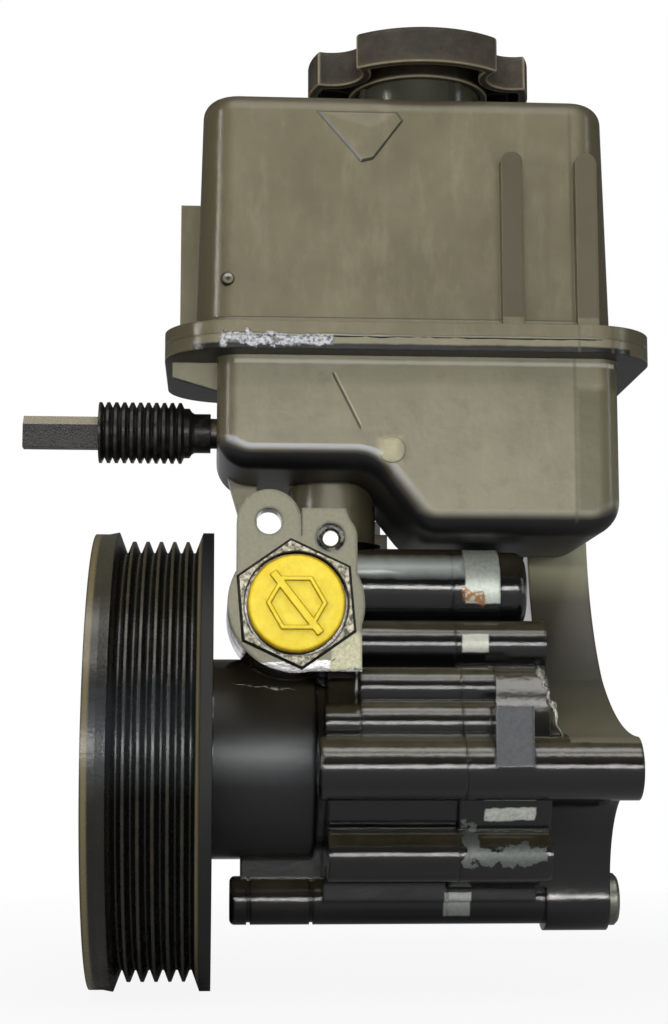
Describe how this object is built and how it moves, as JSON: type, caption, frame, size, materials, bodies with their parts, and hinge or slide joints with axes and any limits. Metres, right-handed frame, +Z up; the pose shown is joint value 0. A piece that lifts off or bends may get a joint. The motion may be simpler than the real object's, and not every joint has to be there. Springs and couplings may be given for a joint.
{
  "type": "power steering pump",
  "caption": "Belt-driven vane pump with a ribbed pulley, bolt-on flange and an oil reservoir with a lobed filler cap on top.",
  "frame": {"origin": "on the shaft axis, in the machined rear face of the mounting flange", "axes": "+X along the shaft from the pulley towards the mounting flange, +Y away from the pressure port's side, +Z up towards the filler cap"},
  "size_m": [0.164, 0.1206, 0.2498],
  "materials": {
    "pulley_black_steel": "satin black coating with faint brown edges",
    "ground_steel": "ground",
    "zinc_steel": "zinc plated",
    "bearing_steel": "polished",
    "cage_nylon": "natural",
    "spring_steel": "drawn",
    "seal_rubber": "matte",
    "bush_bronze": "machined",
    "painted_casting": "glossy black paint on cast aluminium, chipped",
    "black_bolt_steel": "black oxide",
    "painted_plug_steel": "glossy black paint",
    "bare_aluminium_plug": "pressed",
    "yellow_plastic": "satin",
    "reservoir_nylon_lower": "satin, oil darkened",
    "reservoir_nylon_upper": "satin",
    "strainer_gauze": "woven",
    "cap_rubber": "matte",
    "filler_cap_plastic": "fine grain"
  },
  "bodies": {
    "pump_body": {"front_housing": "painted_casting", "rear_cover": "painted_casting", "bearing_outer_ring": "bearing_steel", "bearing_circlip": "spring_steel", "shaft_seal": "seal_rubber", "shaft_bush": "bush_bronze", "pilot_bush": "bush_bronze", "cover_o_ring": "seal_rubber", "front_port_plate": "ground_steel", "rear_port_plate": "ground_steel", "cam_ring": "ground_steel", "dowel_pins": "bearing_steel", "locating_sleeve": "zinc_steel", "housing_bolts": "black_bolt_steel", "valve_end_plug": "painted_plug_steel", "valve_plug_seal": "seal_rubber", "flow_spring": "spring_steel", "gallery_plug": "bare_aluminium_plug", "reservoir_lower": "reservoir_nylon_lower", "reservoir_upper": "reservoir_nylon_upper", "strainer": "strainer_gauze", "suction_o_ring": "seal_rubber", "reservoir_bolts": "zinc_steel"},
    "shaft_and_pulley": {"pulley": "pulley_black_steel", "pulley_nut": "zinc_steel", "pulley_key": "ground_steel", "drive_shaft": "ground_steel", "bearing_inner_ring": "bearing_steel", "rotor": "ground_steel", "vanes": "bearing_steel"},
    "ball_set": {"bearing_balls": "bearing_steel", "bearing_cage": "cage_nylon"},
    "valve_spool": {"flow_spool": "ground_steel"},
    "cap_seal": {"cap_gasket": "seal_rubber"},
    "cap": {"filler_cap": "filler_cap_plastic"},
    "plug": {"port_plug": "yellow_plastic"},
    "transport_cap": {"return_cap": "cap_rubber"}
  },
  "joints": [
    {"name": "shaft_spin", "type": "hinge", "parent": "pump_body", "child": "shaft_and_pulley", "pos_m": [0, 0, 0], "axis": [1, 0, 0], "continuous": true},
    {"name": "cage_spin", "type": "hinge", "parent": "pump_body", "child": "ball_set", "pos_m": [0, 0, 0], "axis": [1, 0, 0], "continuous": true},
    {"name": "spool_slide", "type": "slide", "parent": "pump_body", "child": "valve_spool", "axis": [1, 0, 0], "range_m": [0, 0.006], "stiffness_N_per_m": 800, "springref_m": -0.001, "deforming": ["flow_spring"]},
    {"name": "cap_lift", "type": "slide", "parent": "pump_body", "child": "cap_seal", "axis": [0, 0, 1], "range_m": [0, 0.04]},
    {"name": "cap_turn", "type": "hinge", "parent": "cap_seal", "child": "cap", "pos_m": [-0.0509, -0.012, 0.1842], "axis": [0, 0, 1], "range_deg": [0, 90]},
    {"name": "plug_pull", "type": "slide", "parent": "pump_body", "child": "plug", "axis": [0, -1, 0], "range_m": [0, 0.03]},
    {"name": "transport_cap_pull", "type": "slide", "parent": "pump_body", "child": "transport_cap", "axis": [-1, 0, 0], "range_m": [0, 0.03]}
  ],
  "couplings": [
    {"joint": "cage_spin", "follows": "shaft_spin", "ratio": 0.38421}
  ]
}
